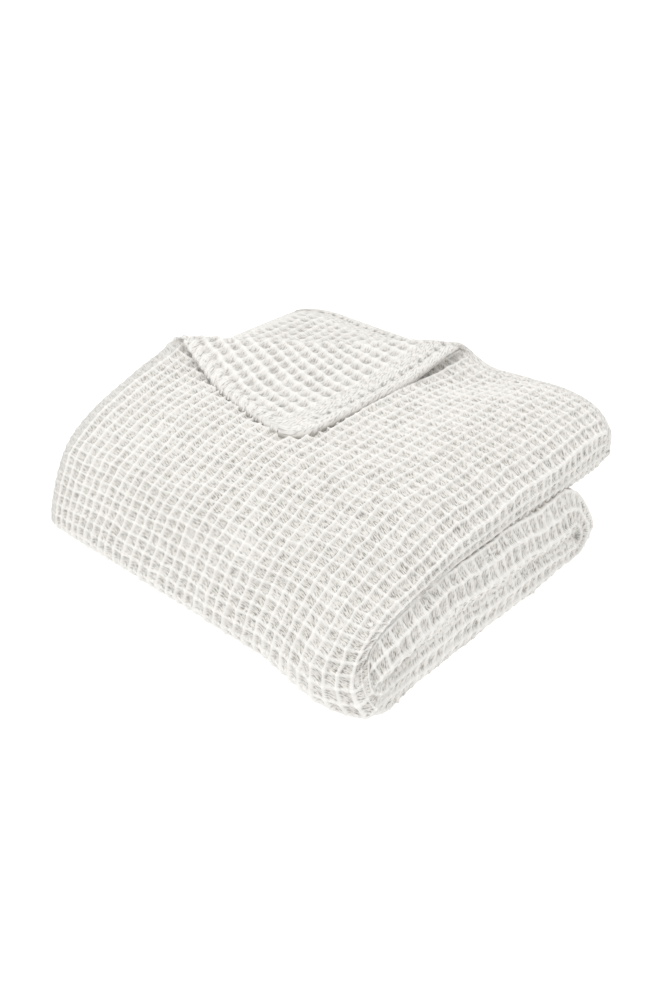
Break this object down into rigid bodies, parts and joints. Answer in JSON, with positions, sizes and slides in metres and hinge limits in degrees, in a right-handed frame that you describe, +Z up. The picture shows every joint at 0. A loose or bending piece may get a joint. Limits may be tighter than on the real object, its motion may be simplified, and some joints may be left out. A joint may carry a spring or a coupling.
{
  "type": "folded waffle throw blanket",
  "caption": "Off-white cotton waffle-weave throw blanket folded to a square stack, with a corner of its top layer turned over.",
  "frame": {"origin": "centre of the bounding box on the face it rests on", "axes": "+Z up, +X from the hem side to the outer fold, +Y from the big front bend to the free end at the back"},
  "size_m": [0.4248, 0.422, 0.1447],
  "materials": {
    "cotton_waffle": "matte cotton waffle weave, off-white"
  },
  "bodies": {
    "root": {"blanket": "cotton_waffle"}
  },
  "joints": []
}
